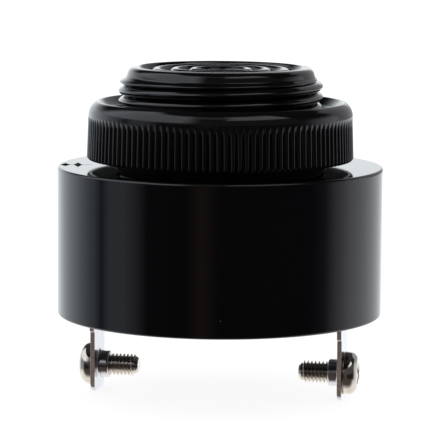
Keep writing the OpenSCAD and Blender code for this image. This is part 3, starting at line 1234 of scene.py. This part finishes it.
@dataclass
class Terminal:
    """Stamped sheet blade with a drawn and tapped collar that points to the axis."""

    side: Side
    face: Material
    edge: Material
    thickness: float = 0.6
    width: float = 6.3
    root_w: float = 7.2
    root_low: float = -22.3
    root_top: float = -11.6
    tab_w: float = 3.0
    corner_r: float = 1.4
    step_r: float = 0.22
    edge_bevel: float = 0.06
    edge_facing: float = 0.94
    hole_r: float = 1.37
    hole_steps: int = 48
    collar_r: float = 1.84
    collar_l: float = 1.5
    collar_round: float = 0.3
    collar_sunk: float = 0.3
    collar_lift: float = 0.004
    collar_columns: int = 64
    mouth_round: float = 0.1
    flare_r: float = 0.35
    sharp: float = 30.0

    def build(self) -> None:
        """Makes the blade and its collar, with plated faces and sheared edges."""
        title = self.side.name.lower()
        node = f"terminal_{title}"
        shell = Shell()
        shell.take(self._sheet(Extent.of(node)))
        for part in shell.mesh.faces:
            part.material_index = int(abs(part.normal.y) > self.edge_facing)
        kept = len(shell.mesh.faces)
        shell.lathe(self._collar(), self.collar_columns, closed=True, place=self._inwards())
        shell.mesh.faces.ensure_lookup_table()
        bmesh.ops.recalc_face_normals(shell.mesh, faces=shell.mesh.faces[kept:])
        finished(shell.to_mesh(f"blade_{title}", self.sharp), [self.face, self.edge], Body.BUZZER, node)

    def _inwards(self) -> Matrix:
        """Place of the collar: its foot on the blade's outer face, Z towards the axis."""
        turn = Matrix.Rotation(-self.side.value * math.pi / 2, 4, "Y")
        return Matrix.Translation((self.side.value * BLADE_X, 0, SCREW_Z)) @ turn

    def _collar(self) -> list[Point]:
        """Works out the outline of the collar, which flares into the sheet at its foot.

        Returns:
            Points of the outline.
        """
        sunk, foot = self.thickness - self.collar_sunk, self.thickness + self.collar_lift
        end = self.thickness + self.collar_l
        flare = self.collar_r + 2 * self.flare_r
        return rounded([
            Corner(self.hole_r, sunk), Corner(flare, sunk),
            Corner(flare, foot), Corner(self.collar_r, foot, self.flare_r),
            Corner(self.collar_r, end, self.collar_round), Corner(self.hole_r, end, self.mouth_round),
        ], closed=True, guard=0.0)

    def _sheet(self, extent: Extent) -> Mesh:
        """Makes the flat blade with its hole, and stands it at its place.

        Args:
            extent: Box of the terminal's solid.

        Returns:
            The sheet's mesh.
        """
        half = [Corner(self.width / 2, extent.low.z, self.corner_r)]
        half += [Corner(across / 2, along, self.step_r) for across, along in (
            (self.width, self.root_low), (self.root_w, self.root_low), (self.root_w, self.root_top),
            (self.tab_w, self.root_top), (self.tab_w, extent.high.z),
        )]
        other = [Corner(-c.across, c.along, c.round_r) for c in reversed(half)]
        angles = [TURN * i / self.hole_steps for i in range(self.hole_steps)]
        hole = [(self.hole_r * math.cos(a), self.hole_r * math.sin(a) + SCREW_Z) for a in angles]
        flat = bpy.data.curves.new("flat_blade", "CURVE")
        flat.dimensions = "2D"
        flat.fill_mode = "BOTH"
        flat.bevel_depth = self.edge_bevel
        flat.bevel_resolution = 2
        flat.offset = -self.edge_bevel
        flat.extrude = self.thickness / 2 - self.edge_bevel
        for points in (rounded(half + other, closed=True, steps=8, guard=0.0), hole):
            spline = flat.splines.new("POLY")
            spline.points.add(len(points) - 1)
            for point, (y, z) in zip(spline.points, points):
                point.co = (y, z, 0, 1)
            spline.use_cyclic_u = True
        mesh = settled(linked("flat_blade", flat))
        upright = Matrix(((0, 0, 1, 0), (1, 0, 0, 0), (0, 1, 0, 0), (0, 0, 0, 1)))
        middle = self.side.value * (BLADE_X - self.thickness / 2)
        mesh.transform(Matrix.Translation((middle, 0, 0)) @ upright)
        return mesh


@dataclass
class TerminalScrews:
    """Two pan head screws with cross recesses, heads outwards."""

    thread: ThreadForm
    finish: Finish
    head_d: float = 5.7
    head_h: float = 2.0
    head_round: float = 1.2
    head_fall: float = 0.3
    head_foot_r: float = 0.2
    head_columns: int = 64
    cross_turn: float = 20.0
    cross_spread: float = 35.0
    length: float = 6.0
    columns: int = 96
    thread_r: float = 1.49
    root_r: float = 1.17
    neck_r: float = 1.33
    neck_l: float = 1.9
    neck_sunk: float = 0.05
    pitch: float = 0.5
    tip_bevel: float = 0.3
    tip_fall: float = 0.25
    recess_l: float = 3.1
    recess_w: float = 0.72
    recess_depth: float = 1.1
    recess_taper: float = 0.6
    weld: float = 0.001
    shank_sharp: float = 50.0
    sharp: float = 35.0

    def build(self) -> None:
        """Makes both screws as one piece."""
        material = self.finish.make()
        shell = Shell()
        for side in Side:
            turn = math.radians(self.cross_turn + self.cross_spread * side.value)
            place = Matrix.Translation((side.value * BLADE_X, 0, SCREW_Z))
            place @= Matrix.Rotation(side.value * math.pi / 2, 4, "Y")
            place @= Matrix.Rotation(turn, 4, "Z")
            for mesh in (self._head(), self._shank(material)):
                mesh.transform(place)
                shell.take(mesh)
        mesh = shell.to_mesh("pan_head_screws", self.sharp)
        finished(mesh, [material], Body.BUZZER, "terminal_screws")

    def _head(self) -> Mesh:
        """Turns the head and cuts its cross recess.

        Returns:
            The head's mesh, seated on Z = 0.
        """
        radius = self.head_d / 2
        outline = rounded([
            Corner(0, self.head_h), Corner(radius, self.head_h - self.head_fall, self.head_round),
            Corner(radius, 0, self.head_foot_r), Corner(0, 0),
        ], closed=False, steps=8, guard=0.0)
        shell = Shell()
        shell.lathe(outline, self.head_columns)
        shell.close()
        head = linked("head", shell.to_mesh("head"))
        cross = linked("cross", self._cross())
        head.modifiers.new("Recess", "BOOLEAN").object = cross
        mesh = settled(head)
        bpy.data.objects.remove(cross)
        return mesh

    def _cross(self) -> Mesh:
        """Makes the cutter of the cross recess, which narrows towards its foot.

        Returns:
            The cutter's mesh.
        """
        reach, half = self.recess_l / 2, self.recess_w / 2
        arm = [Vector((half, half, 0)), Vector((reach, half, 0)), Vector((reach, -half, 0))]
        plus = [Matrix.Rotation(-TURN * i / 4, 3, "Z") @ point for i in range(4) for point in arm]
        low = Vector((0, 0, self.head_h - self.recess_depth))
        high = Vector((0, 0, self.head_h + self.recess_depth))
        shell = Shell()
        for end in shell.skin([
            [low + point * self.recess_taper for point in plus],
            [high + point * (2 - self.recess_taper) for point in plus],
        ]):
            shell.mesh.faces.new(end)
        shell.close()
        return shell.to_mesh("cross")

    def _shank(self, material: Material) -> Mesh:
        """Makes the neck in the collar, the free thread and the flat tip.

        Args:
            material: The screw's material.

        Returns:
            The shank's mesh, below Z = 0.
        """
        shell = Shell()
        tip = -self.length
        end = tip + self.tip_bevel
        neck = [(0, self.neck_sunk), (self.neck_r, self.neck_sunk), (self.neck_r, -self.neck_l)]
        shell.lathe(neck, self.columns)
        shell.lathe([(self.root_r, end), (self.root_r - self.tip_fall, tip), (0, tip)], self.columns)
        shell.take(self.thread.sleeve(Thread(
            columns=self.columns, rows=120, low_r=self.root_r, high_r=self.neck_r,
            root_r=self.root_r, crest_r=self.thread_r, pitch=self.pitch, crest_z=0.0,
            low_end=end, high_end=-self.neck_l, low_run=0.4, high_run=0.2, crest_share=0.06, root_share=0.44,
        ), material))
        shell.close(self.weld)
        return shell.to_mesh("shank", self.shank_sharp)


class Band(Enum):
    """Colours of a resistor's bands."""

    BLACK = (0.01, 0.01, 0.01)
    BROWN = (0.16, 0.06, 0.02)
    RED = (0.5, 0.02, 0.02)
    ORANGE = (0.7, 0.2, 0.02)
    GOLD = (0.55, 0.38, 0.08)


@dataclass
class InnerWorks:
    """Solids that keep their own form and get a finish: the cover and all that it closes in."""

    lead_rough: float = 0.35
    can_half: float = 2.5
    resistor_colour: Colour = (0.58, 0.42, 0.24)
    first_band: float = -1.1
    band_step: float = 0.7
    last_band: float = 1.2

    def dress(self) -> None:
        """Gives each solid its material."""
        for node, finish in {**self._finishes(), **self._resistors()}.items():
            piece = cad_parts[node]
            material = finish.make()
            piece.data.materials.clear()
            piece.data.materials.append(material)
            LOG.info("%s: %s", node, material.name)

    @staticmethod
    def _middle(node: str) -> float:
        """Middle of a solid along X."""
        extent = Extent.of(node)
        return (extent.low.x + extent.high.x) / 2

    def _finishes(self) -> dict[str, Finish]:
        """Lists the finishes of all solids but the resistors.

        Returns:
            Finish of each solid, by its name.
        """
        rough = self.lead_rough
        can_middle = Extent.of("smoothing_capacitor").low.x + self.can_half
        return {
            "rear_cover": SatinMoulding("cover_black_plastic", (0.003, 0.003, 0.0033), 0.2, 0.15),
            "clamp_ring": SatinMoulding("clamp_grey_plastic", (0.02, 0.02, 0.022), 0.35, 0.2),
            "diaphragm_plate": PlatedMetal("rolled_brass", (0.78, 0.56, 0.24), (0.62, 0.40, 0.14), 0.2, 0.15),
            "piezo_ceramic": Grained("fired_ceramic", (0.78, 0.74, 0.66), (0.70, 0.66, 0.58), 0.45),
            "diaphragm_bead": Grained("grey_rubber", (0.25, 0.25, 0.26), (0.19, 0.19, 0.2), 0.6),
            "circuit_board": Laminate(),
            "drive_transistor": Grained("black_epoxy", (0.012, 0.012, 0.013), (0.02, 0.02, 0.021), 0.5),
            "choke_core": Grained("dark_ferrite", (0.03, 0.03, 0.032), (0.055, 0.053, 0.05), 0.55),
            # the winding's second colour is painted shade in the grooves between the turns
            "choke_winding": Ringed(
                "copper_turns_groove_shade", (0.62, 0.24, 0.09), (0.22, 0.07, 0.025), pitch=0.3, rough=0.25, metallic=1.0,
            ),
            "smoothing_capacitor": Banded(
                "printed_sleeve", (0.02, 0.035, 0.12), ((1.6, (0.55, 0.56, 0.6)),), can_middle,
                band_half=0.5, body_half=2.6,
            ),
            "polarity_diode": Banded(
                "diode_body", (0.012, 0.012, 0.012), ((1.4, (0.6, 0.6, 0.6)),),
                self._middle("polarity_diode"), band_half=0.25, body_half=2.05,
            ),
            "drive_lead": Grained("red_sleeve", (0.42, 0.02, 0.016), (0.36, 0.015, 0.012), rough),
            "feedback_lead": Grained("blue_sleeve", (0.025, 0.085, 0.36), (0.02, 0.07, 0.3), rough),
            "ground_lead": Grained("black_sleeve", (0.012, 0.012, 0.013), (0.018, 0.018, 0.019), rough),
            "solder_joints": PlatedMetal("soft_solder", (0.60, 0.61, 0.62), (0.45, 0.45, 0.46), 0.22, 0.2),
        }

    def _resistors(self) -> dict[str, Finish]:
        """Lists the finishes of the resistors, each with its own bands.

        Returns:
            Finish of each resistor, by its name.
        """
        codes = {
            "base_resistor": (Band.BROWN, Band.BLACK, Band.RED),
            "collector_resistor": (Band.RED, Band.RED, Band.BROWN),
            "feedback_resistor": (Band.ORANGE, Band.ORANGE, Band.RED),
        }
        finishes = {}
        for name, code in codes.items():
            bands = [(self.first_band + self.band_step * i, band.value) for i, band in enumerate(code)]
            bands.append((self.last_band, Band.GOLD.value))
            finishes[name] = Banded(
                f"{name}_bands", self.resistor_colour, tuple(bands), self._middle(name),
                band_half=0.17, body_half=1.72,
            )
        return finishes


@dataclass(frozen=True)
class Card:
    """Card on the dome: its turns from the camera's side and its rises, in degrees, with soft edges."""

    turns: Point
    rises: Point
    colour: Colour
    soft_turn: float
    soft_rise: float

    def mask(self, shader: Shader, turn: Wire, rise: Wire) -> Wire:
        """1 on the card and 0 elsewhere, by turn and rise in degrees."""
        sides = shader.between(turn, self.turns, self.soft_turn)
        return sides * shader.between(rise, self.rises, self.soft_rise)


@dataclass
class Studio:
    """Pale floor, white surroundings with a dark side towards the camera, and the camera."""

    azimuth: float = 9.7
    distance: float = 341.87
    height: float = 37.4
    aside: float = 0.30
    pitch: float = 7.485
    roll: float = 0.4
    focal_px: float = 2600.2
    image_px: float = 444.0
    sensor_w: float = 36.0
    clip_start: float = 0.01
    floor_z: float = -30.6
    floor_r: float = 3000.0
    floor_tones: tuple[Colour, Colour] = ((0.14, 0.14, 0.14), (0.16, 0.16, 0.16))
    floor_cloud: float = 0.02
    floor_rough: float = 0.9
    floor_glow: float = 0.9
    floor_columns: int = 64
    white: float = 1.25
    dome_r: float = 900.0
    dome_columns: int = 128
    dome_step: int = 5
    peak: float = 1.5
    wall: tuple[tuple[float, Colour], ...] = (
        (-180, (1.32, 1.38, 1.42)), (-150, (1.30, 1.38, 1.43)), (-118, (0.90, 0.99, 1.04)),
        (-97, (0.40, 0.46, 0.52)), (-90, (0.10, 0.13, 0.17)), (-82, (0.40, 0.45, 0.52)),
        (-70, (0.44, 0.48, 0.53)), (-60, (0.26, 0.26, 0.30)), (-51, (0.03, 0.03, 0.04)),
        (-24, (0.015, 0.015, 0.015)), (-12, (0.13, 0.09, 0.07)), (0, (0.02, 0.018, 0.018)),
        (66, (0.02, 0.02, 0.03)), (78, (0.09, 0.09, 0.11)), (88, (0.43, 0.42, 0.48)),
        (103, (0.86, 0.86, 0.91)), (130, (1.02, 1.06, 1.10)), (180, (1.32, 1.38, 1.42)),
    )
    wall_top: Point = (9.0, 29.0)
    roof: Colour = (0.018, 0.018, 0.02)
    floor_edge: Point = (-16.0, -30.0)
    under: Colour = (0.88, 0.88, 0.88)
    under_front: Colour = (0.06, 0.05, 0.044)
    under_edge: Point = (0.0, 0.6)
    cards: tuple[Card, ...] = (
        Card((124, 200), (-4.9, 3.0), (0.44, 0.44, 0.46), 12.0, 0.8),
        Card((122, 167), (0, 40), (0.48, 0.48, 0.50), 6.0, 2.0),
        Card((-50, 76), (2, 40), (0.10, 0.095, 0.10), 6.0, 6.0),
        Card((-128, -27), (16, 62), (1.28, 1.32, 1.42), 11.0, 4.0),
        Card((6, 73), (40, 65), (1.30, 1.30, 1.34), 2.5, 4.0),
        Card((-32, 12), (47, 62), (0.42, 0.42, 0.43), 6.0, 4.0),
    )

    def build(self) -> None:
        """Sets up floor, light and camera."""
        self._surround()
        self._floor()
        self._dome()
        self._camera()
        bpy.context.scene.view_settings.view_transform = "Standard"

    def _surround(self) -> None:
        """White light from all sides."""
        world = bpy.data.worlds.new("white_surround")
        bpy.context.scene.world = world
        world.use_nodes = True
        background = world.node_tree.nodes["Background"]
        background.inputs["Color"].default_value = (1, 1, 1, 1)
        background.inputs["Strength"].default_value = self.white

    def _floor(self) -> None:
        """Pale round floor under the blades."""
        shell = Shell()
        shell.lathe([(self.floor_r, self.floor_z), (0, self.floor_z)], self.floor_columns)
        shader = Shader("pale_floor")
        cloud = shader.noise(self.floor_cloud, detail=2.0)
        shader.dress({
            "Base Color": shader.mixed(cloud, *self.floor_tones), "Roughness": self.floor_rough,
            "Specular IOR Level": 0.0, "Emission Color": (1, 1, 1), "Emission Strength": self.floor_glow,
        })
        floor = placed(shell.to_mesh("floor"), shader.material)
        floor.visible_glossy = False
        floor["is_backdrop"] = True

    def _dome(self) -> None:
        """Dome round the part that only its gloss sees."""
        rises = [math.radians(rise) for rise in range(-90, 91, self.dome_step)]
        outline = [(self.dome_r * math.cos(rise), self.dome_r * math.sin(rise)) for rise in rises]
        shell = Shell()
        shell.lathe(outline, self.dome_columns)
        shader = Shader("dome_cards")
        shader.dress({
            "Base Color": (0, 0, 0), "Specular IOR Level": 0.0,
            "Emission Color": self._glow(shader), "Emission Strength": self.peak,
        })
        dome = placed(shell.to_mesh("dome"), shader.material)
        for ray in ("camera", "diffuse", "shadow", "transmission"):
            setattr(dome, f"visible_{ray}", False)
        dome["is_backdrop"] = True

    def _glow(self, shader: Shader) -> Wire:
        """Paints the dome: white behind, dark towards the camera and overhead, with the cards on it.

        Args:
            shader: The dome's material in the making.

        Returns:
            Its colour as a share of the peak.
        """
        dim = 1 / self.peak
        x, y, z = shader.axes()
        facing = math.radians(self.azimuth - 90)
        along = x * math.cos(facing) + y * math.sin(facing)
        across = y * math.cos(facing) - x * math.sin(facing)
        share = 0.5 + shader.math("ARCTAN2", across, along) / TURN
        turn = share * 360 - 180
        rise = shader.math("ARCSINE", z / self.dome_r) * (180 / math.pi)
        stops = [(0.5 + angle / 360, scaled(colour, dim)) for angle, colour in self.wall]
        wall = shader.node("ShaderNodeValToRGB", {"stops": stops}, {"Fac": share})
        glow = shader.mixed(shader.step(rise, *self.wall_top), wall, self.roof)
        front = shader.step(along, *(edge * self.dome_r for edge in self.under_edge))
        under = shader.mixed(front, self.under, self.under_front)
        glow = shader.mixed(shader.step(rise, *self.floor_edge), glow, under)
        for card in self.cards:
            glow = shader.mixed(card.mask(shader, turn, rise), glow, scaled(card.colour, dim))
        return glow

    def _camera(self) -> None:
        """Camera at the viewing angle of the photograph."""
        turn = math.radians(self.azimuth)
        back = Vector((math.sin(turn), -math.cos(turn), 0))
        right = Vector((math.cos(turn), math.sin(turn), 0))
        place = back * self.distance + right * self.aside + Vector((0, 0, self.height))
        data = bpy.data.cameras.new("camera")
        data.sensor_width = self.sensor_w
        data.lens = self.sensor_w * self.focal_px / self.image_px
        data.clip_start = self.clip_start
        camera = linked("camera", data)
        aim = Matrix.Rotation(turn, 4, "Z") @ Matrix.Rotation(math.radians(90 - self.pitch), 4, "X")
        roll = Matrix.Rotation(math.radians(self.roll), 4, "Z")
        camera.matrix_world = Matrix.Translation(place * MM) @ aim @ roll
        bpy.context.scene.camera = camera


def write_sizes() -> None:
    """Works out the solids' box and the dressed part's box."""
    boxes = {"cad": CAD_BOX, "visual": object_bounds()}
    {name: [list(corner) for corner in box] for name, box in boxes.items()}


def main() -> None:
    """Builds and dresses the part, piece by piece, and sets up the studio."""
    logging.basicConfig(level=logging.INFO, format="%(message)s")
    Studio().build()
    thread = ThreadForm()
    Housing(thread, GlossMoulding()).build()
    RingNut(thread, RingForm(), SatinMoulding("satin_black_plastic", matt_r=17.05, matt_z=1.6)).build()
    face = PlatedMetal("plated_sheet", (0.58, 0.57, 0.60), (0.52, 0.50, 0.50), rough=0.12, spread=0.1).make()
    edge = Grained(
        "sheared_edge", (0.20, 0.144, 0.122), (0.15, 0.107, 0.09), rough=0.35, grain=3.0, metallic=0.2,
    ).make()
    for side in Side:
        Terminal(side, face, edge).build()
    nickel = PlatedMetal("nickel_plate", (0.60, 0.56, 0.51), (0.50, 0.45, 0.39), rough=0.07, spread=0.07)
    TerminalScrews(thread, nickel).build()
    InnerWorks().dress()
    write_sizes()


if __name__ == "__main__":
    main()
